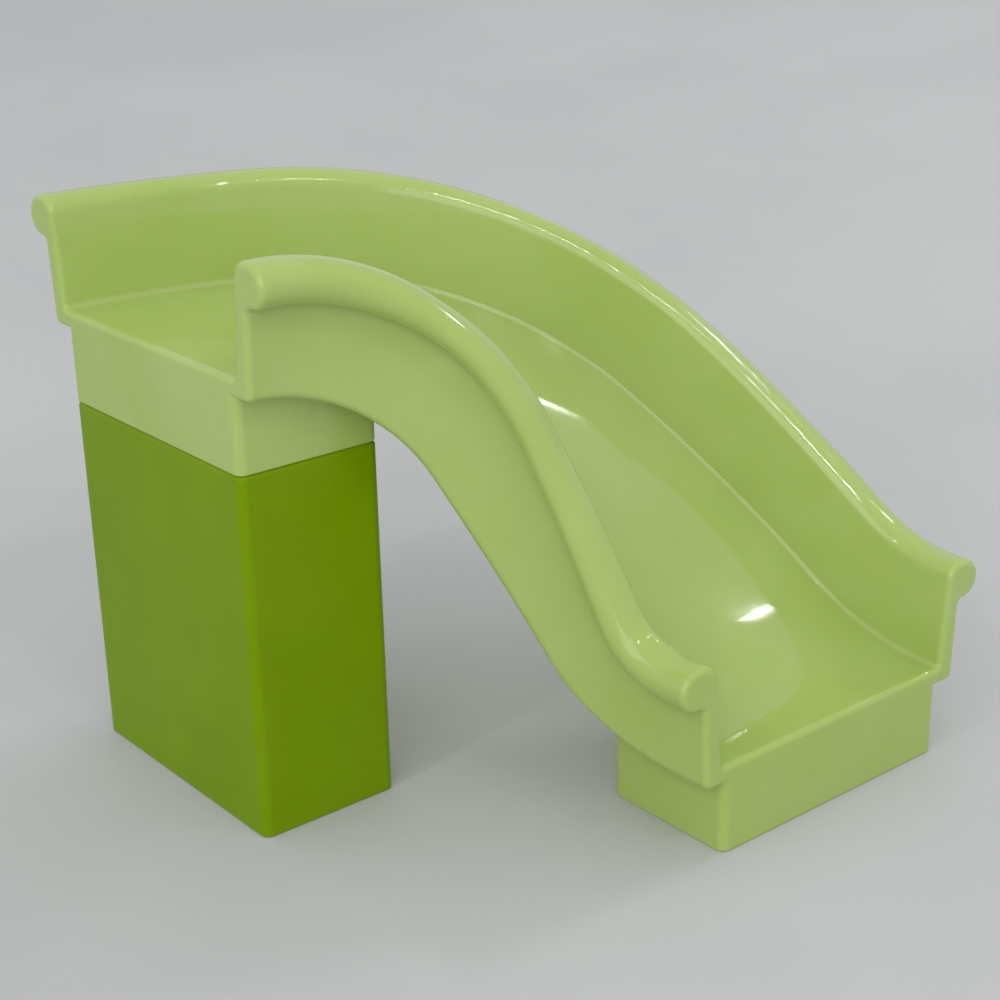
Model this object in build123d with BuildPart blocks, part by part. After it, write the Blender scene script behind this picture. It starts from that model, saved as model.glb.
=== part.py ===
from build123d import *
from math import acos, atan2, cos, degrees, hypot, pi, radians, sin, sqrt, tan
import os

os.makedirs("parts", exist_ok=True)

# A toy slide that turns a quarter circle to the right while it drops. It stands on a tall brick
# at its top end and on its own hollow foot at its bottom end. Both mouldings belong to one
# stud-and-tube brick system. The origin is on the ground, below the middle of the whole object:
# a rider starts out heading +Y and leaves heading +X.

# Brick system, all in millimetres.
pitch = 16.0  # from stud to stud
brick_height = 19.2
play = 0.1  # every brick stands back this much from its grid line
stud_radius = 4.7
stud_bore_radius = 3.2
stud_height = 4.4
clutch_gap = 0.3  # between a tube and the four studs around it
tube_wall = 1.3
shell = 1.6  # upright walls of the hollow bricks
ceiling = 2.0  # top of the support brick
corner_radius = 2.0
rim_radius = 0.9

# Support brick, and the turn that starts beside it, in studs and brick heights.
studs_across = 4
studs_along = 2
bricks_high = 4
turn_studs = 4  # from the turn's axis to the near side of the brick

# Chute section. Distances across are measured from the foot of a wall's channel face, away
# from the channel, and lifts are measured square off the floor.
inner_set_out = 1.0  # foot of the inner channel face, outside the brick's grid line
inner_shift = 0.5  # the inner wall's own turn has its centre this much further down the way
outer_set_out = 0.75  # foot of the outer channel face, outside the brick's grid line
floor_thickness = 3.7
wall = 4.3
wall_lift = 22.9
wall_lean = 1.55  # a wall's top lies this much further out than its foot
rail_across = 6.6  # centre of the round rail along the top of each wall
rail_lift = 18.5
rail_radius = 4.3
rail_squat = 0.45  # how much of the slope's foreshortening the rails take on
root_radius = 1.2  # hollow round between the rail and the wall below it
lip_radius = 3.5
cove_radius = 1.2
keel_radius = 1.6
end_radius = 1.2  # both ends of the chute are rounded over by this much

# Fall of the chute. Unrolled, the floor's edge along each wall is level, bends over a crest,
# falls straight, bends out of a dip and is level again. The rail above it does so on its own.
# Each row is the level stretch in, the level stretch out, and the crest and dip radii as shares
# of their largest possible sum, at which the two arcs meet and no straight slope is left.
exit_floor = brick_height
inner_unroll = 3.7  # both inner rows are laid out this far behind the channel face
inner_foot_fall = (0.25, 3.2, 0.483, 0.372)
inner_rail_fall = (2.9, 4.0, 0.46, 0.427)
outer_foot_fall = (42.2, 0.4, 0.651, 0.244)
outer_rail_fall = (42.2, 2.0, 0.662, 0.255)
section_count = 31

# Places and sizes that follow from the sizes above.
tube_radius = pitch / sqrt(2) - stud_radius - clutch_gap
block_top = bricks_high * brick_height
entry_floor = block_top + brick_height
drop = entry_floor - exit_floor
near_side = turn_studs * pitch - play - end_radius
inner_foot = near_side - inner_set_out
outer_foot = near_side + studs_across * pitch + outer_set_out
overall = outer_foot + rail_across + rail_radius + end_radius
axis_x = overall / 2 - end_radius
axis_y = end_radius - overall / 2
grid_x = axis_x - near_side
grid_y = axis_y - end_radius - play
length = studs_across * pitch - 2 * play
width = studs_along * pitch - 2 * play
block_x = grid_x - studs_across * pitch / 2
block_y = grid_y + studs_along * pitch / 2
foot_x = grid_x + (turn_studs - studs_along / 2) * pitch
foot_y = grid_y + (turn_studs + studs_across / 2) * pitch


class Fall:
    """Unrolled path down one wall: level, crest arc, straight slope, dip arc, level."""

    def __init__(self, radius, level_in, level_out, crest_share, dip_share):
        self.radius = radius
        self.start = level_in
        self.end = radius * pi / 2 - level_out
        run = self.end - self.start
        largest = (run**2 + drop**2) / (2 * drop)
        self.crest = crest_share * largest
        self.dip = dip_share * largest
        spare = self.crest + self.dip - drop
        self.slope = atan2(run, spare) - acos((self.crest + self.dip) / hypot(spare, run))

    def height(self, angle, lift):
        """Height, at a turn angle, of the line that runs `lift` square off the path."""
        along = self.radius * radians(angle)
        crest = self.crest + lift
        dip = self.dip - lift
        crest_end = self.start + crest * sin(self.slope)
        dip_start = self.end - dip * sin(self.slope)
        if along <= self.start:
            return entry_floor + lift
        if along <= crest_end:
            return entry_floor - self.crest + sqrt(crest**2 - (along - self.start) ** 2)
        if along < dip_start:
            slope_top = entry_floor - self.crest + crest * cos(self.slope)
            return slope_top - (along - crest_end) * tan(self.slope)
        if along < self.end:
            return exit_floor + self.dip - sqrt(dip**2 - (self.end - along) ** 2)
        return exit_floor + lift

    def slope_cosine(self, angle):
        """Cosine of the path's slope at a turn angle."""
        along = self.radius * radians(angle)
        sines = ((along - self.start) / self.crest, (self.end - along) / self.dip, sin(self.slope))
        return sqrt(1 - max(0, min(sines)) ** 2)


inner_falls = [Fall(inner_foot - inner_unroll, *row) for row in (inner_foot_fall, inner_rail_fall)]
outer_falls = [Fall(outer_foot, *row) for row in (outer_foot_fall, outer_rail_fall)]


def inner_radius(angle):
    """Distance of the inner channel face's foot from the turn's axis at a turn angle."""
    return inner_foot + inner_shift * sin(radians(angle))


def section_plane(angle, ahead=0):
    """Upright plane through the turn's axis, moved ahead along the way down if asked: its local
    X runs away from the axis and its local Y runs up."""
    outwards = Vector(-cos(radians(angle)), sin(radians(angle)), 0)
    heading = outwards.cross(Vector(0, 0, 1))
    return Plane(origin=Vector(axis_x, axis_y, 0) + heading * ahead, x_dir=outwards, z_dir=heading)


def arc_points(centre, radius, first, last, count):
    """Points (across, lift) on an arc from one polar angle to another."""
    turns = [radians(first + (last - first) * i / (count - 1)) for i in range(count)]
    return [(centre[0] + radius * cos(t), centre[1] + radius * sin(t)) for t in turns]


def wall_stretches(inset):
    """Keel, rail, lip and cove: the round stretches of one wall's outline, from the chute's
    underside over the rail to the floor, all drawn in by `inset`."""
    lip_centre = (wall_lean + lip_radius, wall_lift - lip_radius)
    rail_centre = (rail_across, rail_lift)
    across = rail_centre[0] - lip_centre[0]
    below = rail_centre[1] - lip_centre[1]
    crown = degrees(atan2(below, across) + acos((lip_radius - rail_radius) / hypot(across, below)))

    root_across = wall + wall_lean / 2 + root_radius
    reach = rail_radius + root_radius
    root_drop = sqrt(reach**2 - (rail_across - root_across) ** 2)
    root_centre = (root_across, rail_lift - root_drop)
    under = degrees(atan2(-root_drop, root_across - rail_across))

    root = arc_points(root_centre, root_radius + inset, 180, under + 180, 4)
    rail = arc_points(rail_centre, rail_radius - inset, under, crown, 8)

    keel_centre = (wall - keel_radius, keel_radius - floor_thickness)
    cove_centre = (-cove_radius, cove_radius)
    return [
        arc_points(keel_centre, keel_radius - inset, -90, 0, 4),
        root + rail[1:],
        arc_points(lip_centre, lip_radius - inset, crown, 180, 5),
        arc_points(cove_centre, cove_radius + inset, 0, -90, 4),
    ]


def wall_outline(falls, angle, inset):
    """The wall's round stretches at one turn angle, as points (across, height)."""
    at_foot, at_rail = falls
    squat = 1 - rail_squat * (1 - at_foot.slope_cosine(angle))
    keel, rail, lip, cove = wall_stretches(inset)
    keel, cove = [[(a, at_foot.height(angle, h)) for a, h in s] for s in (keel, cove)]
    rail, lip = [[(a, rail_lift + (h - rail_lift) * squat) for a, h in s] for s in (rail, lip)]
    rail, lip = [[(a, at_rail.height(angle, h)) for a, h in s] for s in (rail, lip)]
    return [keel, rail, lip, cove]


def chute_section(angle, ahead=0, inset=0):
    """Face of the whole chute section at one turn angle."""
    outer = wall_outline(outer_falls, angle, inset)
    inner = wall_outline(inner_falls, angle, inset)
    outline = [[(outer_foot + a, z) for a, z in s] for s in outer]
    outline += [[(inner_radius(angle) - a, z) for a, z in s[::-1]] for s in inner[::-1]]
    with BuildSketch(section_plane(angle, ahead)) as section:
        with BuildLine():
            for stretch, following in zip(outline, outline[1:] + outline[:1]):
                Spline(*stretch)
                Line(stretch[-1], following[0])
        make_face()
    return section.sketch.face()


def ground_section(angle, ahead=0):
    """Face from the ground up to the middle of the floor slab at one turn angle."""
    near = inner_radius(angle) - wall
    far = outer_foot + wall
    lift = -floor_thickness / 2
    with BuildSketch(section_plane(angle, ahead)) as section:
        with BuildLine():
            Polyline(
                (near, 0),
                (far, 0),
                (far, outer_falls[0].height(angle, lift)),
                (near, inner_falls[0].height(angle, lift)),
                close=True,
            )
        make_face()
    return section.sketch.face()


def brick_walls(x, y, size_x, size_y, bottom, height):
    """Upright walls of a hollow brick, with rounded corners and a softened bottom rim."""
    base = Plane((x, y, bottom))
    with BuildPart(mode=Mode.PRIVATE) as walls:
        with BuildSketch(base):
            RectangleRounded(size_x, size_y, corner_radius)
        extrude(amount=height)
        fillet(walls.faces().sort_by(Axis.Z)[0].edges(), rim_radius / 2)
        with BuildSketch(base):
            RectangleRounded(size_x - 2 * shell, size_y - 2 * shell, corner_radius - shell / 2)
        extrude(amount=height, mode=Mode.SUBTRACT)
    return walls.part


def clutch_tubes(x, y, studs_x, studs_y, bottom, height):
    """Open tubes that stand between the stud places of a hollow brick."""
    with BuildPart(mode=Mode.PRIVATE) as tubes:
        with BuildSketch(Plane((x, y, bottom))):
            with GridLocations(pitch, pitch, studs_x - 1, studs_y - 1):
                Circle(tube_radius)
                Circle(tube_radius - tube_wall, mode=Mode.SUBTRACT)
        extrude(amount=height)
    return tubes.part


# Space below the floor slab, which trims the skirt and the foot to the floor's shape.
turn_angles = [90 * i / (section_count - 1) for i in range(section_count)]
with BuildPart() as below_floor:
    loft([ground_section(angle) for angle in turn_angles])
    loft([ground_section(0), ground_section(0, -end_radius)])
    loft([ground_section(90), ground_section(90, end_radius)])

# Skirt at the top end, which sits over the support brick's studs.
with BuildPart() as skirt:
    add(brick_walls(block_x, block_y, length, width, block_top, brick_height))
    add(clutch_tubes(block_x, block_y, studs_across, studs_along, block_top, brick_height))
    add(below_floor.part, mode=Mode.INTERSECT)

# Foot at the bottom end, turned a quarter from the skirt.
with BuildPart() as foot:
    add(brick_walls(foot_x, foot_y, width, length, 0, 2 * brick_height))
    add(clutch_tubes(foot_x, foot_y, studs_along, studs_across, 0, 2 * brick_height))
    add(below_floor.part, mode=Mode.INTERSECT)

# Rounded ends of the chute: each section is a little further out and a little smaller.
end_steps = [radians(t) for t in (0, 30, 60, 90)]
with BuildPart() as entry_end:
    loft([chute_section(0, -end_radius * sin(t), end_radius * (1 - cos(t))) for t in end_steps])
with BuildPart() as exit_end:
    loft([chute_section(90, end_radius * sin(t), end_radius * (1 - cos(t))) for t in end_steps])

# Slide: floor, both walls with their rails, skirt and foot are one moulding.
with BuildPart() as slide:
    loft([chute_section(angle) for angle in turn_angles])
    add(entry_end.part)
    add(exit_end.part)
    add(skirt.part)
    add(foot.part)

# Support brick: hollow, with studs on top and clutch tubes inside.
with BuildPart() as support_block:
    with BuildSketch(Plane((block_x, block_y, 0))):
        RectangleRounded(length, width, corner_radius)
    extrude(amount=block_top)
    fillet(support_block.faces().sort_by(Axis.Z)[-1].edges(), rim_radius)
    fillet(support_block.faces().sort_by(Axis.Z)[0].edges(), rim_radius / 2)
    with BuildSketch(Plane((block_x, block_y, 0))):
        RectangleRounded(length - 2 * shell, width - 2 * shell, corner_radius - shell / 2)
    extrude(amount=block_top - ceiling, mode=Mode.SUBTRACT)
    add(clutch_tubes(block_x, block_y, studs_across, studs_along, 0, block_top - ceiling))
    with BuildSketch(Plane((block_x, block_y, block_top))):
        with GridLocations(pitch, pitch, studs_across, studs_along):
            Circle(stud_radius)
            Circle(stud_bore_radius, mode=Mode.SUBTRACT)
    extrude(amount=stud_height)

slide.part.label = "slide"
export_step(slide.part, "parts/slide.step")

support_block.part.label = "support_block"
export_step(support_block.part, "parts/support_block.step")
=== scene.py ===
"""Looks of a quarter-turn toy slide on its support brick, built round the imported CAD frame."""
import math

import bpy
from mathutils import Euler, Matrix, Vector

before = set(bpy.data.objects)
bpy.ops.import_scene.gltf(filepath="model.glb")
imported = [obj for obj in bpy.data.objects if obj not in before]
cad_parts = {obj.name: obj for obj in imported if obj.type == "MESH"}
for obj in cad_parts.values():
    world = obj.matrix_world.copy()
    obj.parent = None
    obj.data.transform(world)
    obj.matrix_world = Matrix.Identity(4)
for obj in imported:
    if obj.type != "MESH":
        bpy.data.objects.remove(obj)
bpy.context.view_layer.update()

scene = bpy.context.scene
scene.view_settings.view_transform = "Standard"


# ---------------------------------------------------------------- node helpers
class Tree:
    """Adds nodes to a material and links them from left to right."""

    def __init__(self, name):
        self.material = bpy.data.materials.new(name)
        self.material.use_nodes = True
        self.tree = self.material.node_tree
        self.tree.nodes.clear()
        self.columns = 0

    def add(self, kind, inputs=None, **settings):
        node = self.tree.nodes.new(kind)
        node.location = (self.columns * 190, 0)
        self.columns += 1
        for key, value in settings.items():
            setattr(node, key, value)
        for key, value in (inputs or {}).items():
            socket = node.inputs[key]
            if isinstance(value, bpy.types.NodeSocket):
                self.tree.links.new(value, socket)
            else:
                socket.default_value = value
        return node

    def noise(self, where, scale, detail=3.0, rough=0.5, warp=0.0):
        node = self.add(
            "ShaderNodeTexNoise",
            {"Vector": where, "Scale": scale, "Detail": detail, "Roughness": rough, "Distortion": warp},
        )
        return node.outputs["Fac"]

    def span(self, value, low, high, to_low=0.0, to_high=1.0, smooth=False):
        node = self.add(
            "ShaderNodeMapRange",
            {"Value": value, "From Min": low, "From Max": high, "To Min": to_low, "To Max": to_high},
            interpolation_type="SMOOTHSTEP" if smooth else "LINEAR",
        )
        return node.outputs["Result"]

    def sum(self, first, second, kind="ADD"):
        node = self.add("ShaderNodeMath", {0: first, 1: second}, operation=kind)
        return node.outputs[0]

    def mix(self, share, first, second, blend="MIX"):
        node = self.add("ShaderNodeMix", data_type="RGBA", blend_type=blend)
        for socket, value in ((0, share), (6, first), (7, second)):
            if isinstance(value, bpy.types.NodeSocket):
                self.tree.links.new(value, node.inputs[socket])
            else:
                node.inputs[socket].default_value = value
        return node.outputs[2]


def linear(red, green, blue):
    """Linear RGBA of an 8-bit sRGB colour."""
    parts = [c / 255 for c in (red, green, blue)]
    return (*[p / 12.92 if p <= 0.04045 else ((p + 0.055) / 1.055) ** 2.4 for p in parts], 1.0)


def moulded_plastic(name, body, deep, pale, glow, gloss, roughness, seed):
    """Glossy injection-moulded plastic: a faint colour drift through the wall, a fine orange-peel
    surface, dulled handling patches, hairline scuffs, specks, and edges polished pale by wear."""
    t = Tree(name)
    place = t.add("ShaderNodeTexCoord").outputs["Object"]
    where = t.add("ShaderNodeVectorMath", {0: place, 1: (seed, seed, seed)}, operation="ADD").outputs[0]

    # Colour: slow drift between a deeper and a paler tone, with cloudy flow marks.
    drift = t.span(t.noise(where, 14.0, 2.0, 0.5, 0.6), 0.3, 0.7, smooth=True)
    colour = t.mix(drift, deep, body)
    flow = t.span(t.noise(where, 46.0, 4.0, 0.55, 1.2), 0.42, 0.75)
    colour = t.mix(t.sum(flow, 0.16, "MULTIPLY"), colour, pale)

    # Edges rub pale: curvature from a bevelled normal against the true one.
    worn = t.add("ShaderNodeBevel", {"Radius": 0.0011}, samples=6).outputs["Normal"]
    true = t.add("ShaderNodeNewGeometry").outputs["Normal"]
    bend = t.add("ShaderNodeVectorMath", {0: worn, 1: true}, operation="DOT_PRODUCT").outputs["Value"]
    edge = t.span(bend, 0.995, 0.85)
    patchy = t.span(t.noise(where, 160.0, 3.0), 0.35, 0.65)
    rubbed = t.sum(t.sum(edge, patchy, "MULTIPLY"), 0.35, "MULTIPLY")
    colour = t.mix(rubbed, colour, pale)

    # Specks of dirt moulded in or stuck on, far apart and under a millimetre.
    cells = t.add(
        "ShaderNodeTexVoronoi", {"Vector": where, "Scale": 52.0, "Randomness": 1.0}, feature="F1"
    )
    dot = t.span(cells.outputs["Distance"], 0.035, 0.02)
    chosen = t.add("ShaderNodeSeparateColor", {"Color": cells.outputs["Color"]}).outputs["Red"]
    speck = t.sum(dot, t.span(chosen, 0.86, 0.87), "MULTIPLY")
    colour = t.mix(t.sum(speck, 0.75, "MULTIPLY"), colour, tuple(c * 0.22 for c in deep[:3]) + (1.0,))

    # Hairline scuffs: two stretched noise fields at different angles, thresholded thin.
    scuffs = None
    for angle, stretch in ((0.6, (9.0, 260.0, 60.0)), (-0.9, (240.0, 12.0, 70.0))):
        turned = t.add(
            "ShaderNodeMapping", {"Vector": where, "Rotation": (0.3, 0.2, angle), "Scale": stretch}
        ).outputs["Vector"]
        line = t.span(t.noise(turned, 1.0, 2.0, 0.4, 0.3), 0.70, 0.76)
        scuffs = line if scuffs is None else t.sum(scuffs, line, "MAXIMUM")
    handled = t.span(t.noise(where, 24.0, 3.0, 0.6), 0.45, 0.7, smooth=True)
    scuffs = t.sum(scuffs, handled, "MULTIPLY")

    # Roughness: glossy, duller where handled and along the scuffs.
    rough = t.span(t.noise(where, 30.0, 4.0, 0.6, 0.4), 0.3, 0.75, roughness, roughness + 0.04)
    rough = t.sum(rough, t.sum(scuffs, 0.18, "MULTIPLY"))
    rough = t.sum(rough, t.sum(speck, 0.3, "MULTIPLY"))
    rough = t.sum(rough, t.sum(rubbed, 0.2, "MULTIPLY"))

    # Bump: broad sink marks, fine orange peel, scuffs and standing specks.
    height = t.sum(t.noise(where, 60.0, 2.0, 0.4), 0.5, "MULTIPLY")
    height = t.sum(height, t.sum(t.noise(where, 620.0, 3.0, 0.5), 0.035, "MULTIPLY"))
    height = t.sum(height, t.sum(scuffs, -0.02, "MULTIPLY"))
    height = t.sum(height, t.sum(speck, 0.1, "MULTIPLY"))
    bump = t.add("ShaderNodeBump", {"Strength": 0.2, "Distance": 0.0004, "Height": height}).outputs["Normal"]

    skin = t.add(
        "ShaderNodeBsdfPrincipled",
        {
            "Base Color": colour,
            "Roughness": rough,
            "IOR": 1.5,
            "Specular IOR Level": gloss,
            "Normal": bump,
            "Subsurface Weight": glow,
            "Subsurface Radius": (0.6, 1.0, 0.2),
            "Subsurface Scale": 0.003,
        },
    )
    t.add("ShaderNodeOutputMaterial", {"Surface": skin.outputs["BSDF"]})
    return t.material


def dress(node, material):
    """Gives a carried-over CAD node its finished material."""
    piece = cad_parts[node]
    piece.data.materials.clear()
    piece.data.materials.append(material)


dress(
    "slide",
    moulded_plastic(
        "slide_plastic",
        body=linear(172, 192, 108),
        deep=linear(165, 187, 96),
        pale=linear(188, 204, 138),
        glow=0.25,
        gloss=0.5,
        roughness=0.045,
        seed=3.1,
    ),
)
dress(
    "support_block",
    moulded_plastic(
        "block_plastic",
        body=linear(120, 150, 4),
        deep=linear(114, 145, 2),
        pale=linear(138, 168, 14),
        glow=0.1,
        gloss=0.08,
        roughness=0.12,
        seed=8.7,
    ),
)


# ---------------------------------------------------------------- camera
camera = bpy.data.objects.new("camera", bpy.data.cameras.new("camera"))
scene.collection.objects.link(camera)
camera.location = (0.29546, -0.24115, 0.19945)
camera.rotation_euler = Euler((1.197357, 0.015228, 0.869506))  # looks down by about 21 degrees
camera.data.lens = 69.05
camera.data.sensor_width = 36.0
camera.data.shift_x = -0.03226
camera.data.shift_y = 0.01202
camera.data.clip_start = 0.01
camera.data.clip_end = 20.0
scene.camera = camera


# ---------------------------------------------------------------- floor and ramp behind
def pale_ground():
    """Plain pale floor that bends up into a gentle ramp behind the object, nearly square to the view."""
    turn = 0.8453  # within a degree and a half of the camera's heading
    extent = 1.6  # how far the ramp runs on
    floor_reach = -1.2  # the floor's near edge
    half_width = 2.0
    ahead = Vector((-math.sin(turn), math.cos(turn), 0.0))
    side = Vector((math.cos(turn), math.sin(turn), 0.0))
    bend = 0.02  # radius from the floor to the ramp
    back = 0.149  # where the ramp starts
    ramp = math.radians(10)
    outline = [(floor_reach, 0.0), (back, 0.0)]
    steps = 8
    for i in range(1, steps + 1):
        a = ramp * i / steps
        outline.append((back + bend * math.sin(a), bend - bend * math.cos(a)))
    outline.append((back + extent * math.cos(ramp), extent * math.sin(ramp)))
    mesh = bpy.data.meshes.new("ground")
    points = []
    for along, up in outline:
        for across in (-half_width, half_width):
            points.append(ahead * along + side * across + Vector((0, 0, up)))
    faces = [(2 * i, 2 * i + 1, 2 * i + 3, 2 * i + 2) for i in range(len(outline) - 1)]
    mesh.from_pydata(points, [], faces)
    mesh.polygons.foreach_set("use_smooth", [True] * len(faces))
    ground = bpy.data.objects.new("ground", mesh)
    scene.collection.objects.link(ground)

    t = Tree("pale_ground")
    place = t.add("ShaderNodeTexCoord").outputs["Object"]
    cloud = t.span(t.noise(place, 9.0, 3.0), 0.35, 0.65, smooth=True)
    colour = t.mix(cloud, (0.53, 0.535, 0.53, 1), (0.56, 0.56, 0.555, 1))
    grain = t.noise(place, 420.0, 3.0)
    bump = t.add("ShaderNodeBump", {"Strength": 0.15, "Distance": 0.0004, "Height": grain})
    skin = t.add(
        "ShaderNodeBsdfPrincipled",
        {
            "Base Color": colour,
            "Roughness": 0.75,
            "Specular IOR Level": 0.2,
            "Normal": bump.outputs["Normal"],
        },
    )
    t.add("ShaderNodeOutputMaterial", {"Surface": skin.outputs["BSDF"]})
    mesh.materials.append(t.material)


pale_ground()


# ---------------------------------------------------------------- light
def area_light(name, place, target, size, power):
    data = bpy.data.lights.new(name, "AREA")
    data.shape = "RECTANGLE"
    data.size, data.size_y = size
    data.energy = power
    lamp = bpy.data.objects.new(name, data)
    lamp.location = place
    lamp.rotation_euler = (Vector(target) - Vector(place)).to_track_quat("-Z", "Y").to_euler()
    scene.collection.objects.link(lamp)


world = bpy.data.worlds.new("studio")
world.use_nodes = True
world.node_tree.nodes["Background"].inputs["Color"].default_value = (0.95, 0.97, 1.0, 1.0)
world.node_tree.nodes["Background"].inputs["Strength"].default_value = 0.74
scene.world = world

middle = Vector((0.0, 0.0, 0.05))
softbox_way = Vector((0.58, -0.72, 0.45)).normalized()
softbox_distance = 1.5
area_light("softbox", middle + softbox_way * softbox_distance, middle, (1.5, 1.0), 7.3)


def lamp_row(name, centre, first, last, count, size, power):
    """Row of small lamps that makes a bright glint, given by the directions of its two ends."""
    for i in range(count):
        towards = Vector(first).lerp(Vector(last), i / (count - 1))
        area_light(f"{name}_{i}", centre + towards, centre, size, power)


floor_middle = Vector((0.017, 0.034, 0.05))
lamp_row(
    "crest_lamp", floor_middle, (0.0, 0.79, 0.617), (0.15, 0.755, 0.642),
    count=6, size=(0.018, 0.008), power=0.18,
)
lamp_row(
    "dip_lamp", floor_middle, (0.245, 0.685, 0.688), (0.23, 0.735, 0.638),
    count=6, size=(0.004, 0.006), power=0.012,
)
lamp_row(
    "rail_lamp", middle, (0.60, -0.16, 0.785), (0.62, 0.02, 0.785),
    count=3, size=(0.022, 0.022), power=0.22,
)
area_light("lamp_front", middle + Vector((0.111, -0.694, 0.711)), middle, (0.03, 0.03), 0.5)
